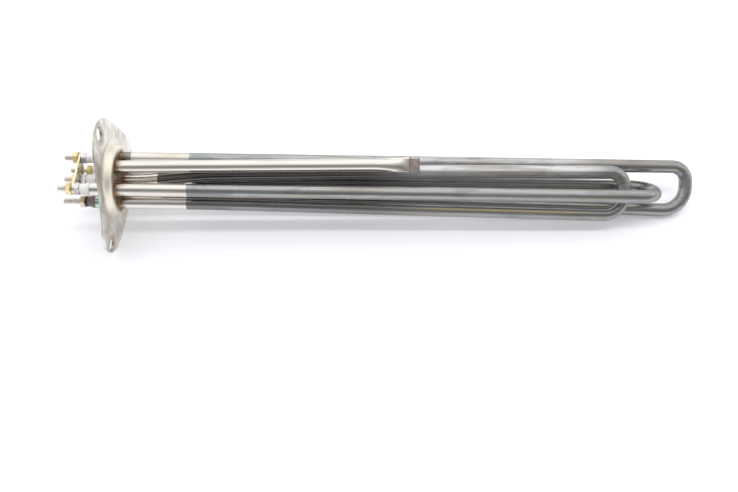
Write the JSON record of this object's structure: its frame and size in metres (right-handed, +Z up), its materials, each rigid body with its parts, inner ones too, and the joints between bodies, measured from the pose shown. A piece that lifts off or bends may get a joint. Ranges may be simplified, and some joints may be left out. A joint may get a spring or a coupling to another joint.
{
  "type": "immersion heating element",
  "caption": "Flanged immersion heating element with hairpin metal-sheathed loops, a crimped sensor pocket and threaded stud terminals with a star link.",
  "frame": {"origin": "on the element's axis, at the centre of the bolt circle, midway through the flange plate there", "axes": "+X along the element from the terminals to the loops' far bends, +Z up as the element lies on the flange's flat flank between two bolt lobes and on the long loop's bend"},
  "size_m": [0.4036, 0.0862, 0.0805],
  "materials": {
    "tube_steel": "oxidised satin, bright near the flange",
    "plate_steel": "pressed satin with a warm heat tint",
    "pocket_steel": "bright drawn tube",
    "pin_steel": "rolled thread",
    "plated_nut": "zinc plated",
    "plated_washer": "zinc plated",
    "brass": "machined",
    "braze": "heat stained filler",
    "insulator": "unglazed, matt",
    "seal": "cast resin",
    "powder": "pressed powder",
    "coil_alloy": "resistance wire"
  },
  "bodies": {
    "root": {"cross_loop_coil": "coil_alloy", "cross_loop_powder": "powder", "cross_loop_sheath": "tube_steel", "end_seal_a": "seal", "end_seal_b": "seal", "end_seal_c": "seal", "end_seal_d": "seal", "end_seal_e": "seal", "end_seal_f": "seal", "flange": "plate_steel", "inner_nuts_brass": "brass", "inner_nuts_steel": "plated_nut", "insulator_a": "insulator", "insulator_b": "insulator", "insulator_c": "insulator", "insulator_d": "insulator", "insulator_e": "insulator", "insulator_f": "insulator", "long_loop_coil": "coil_alloy", "long_loop_powder": "powder", "long_loop_sheath": "tube_steel", "outer_nuts": "brass", "pocket_braze": "braze", "sensor_pocket": "pocket_steel", "short_loop_coil": "coil_alloy", "short_loop_powder": "powder", "short_loop_sheath": "tube_steel", "spring_washers": "plated_washer", "star_link": "brass", "terminal_pin_a": "pin_steel", "terminal_pin_b": "pin_steel", "terminal_pin_c": "pin_steel", "terminal_pin_d": "pin_steel", "terminal_pin_e": "pin_steel", "terminal_pin_f": "pin_steel", "tube_braze": "braze"}
  },
  "joints": []
}
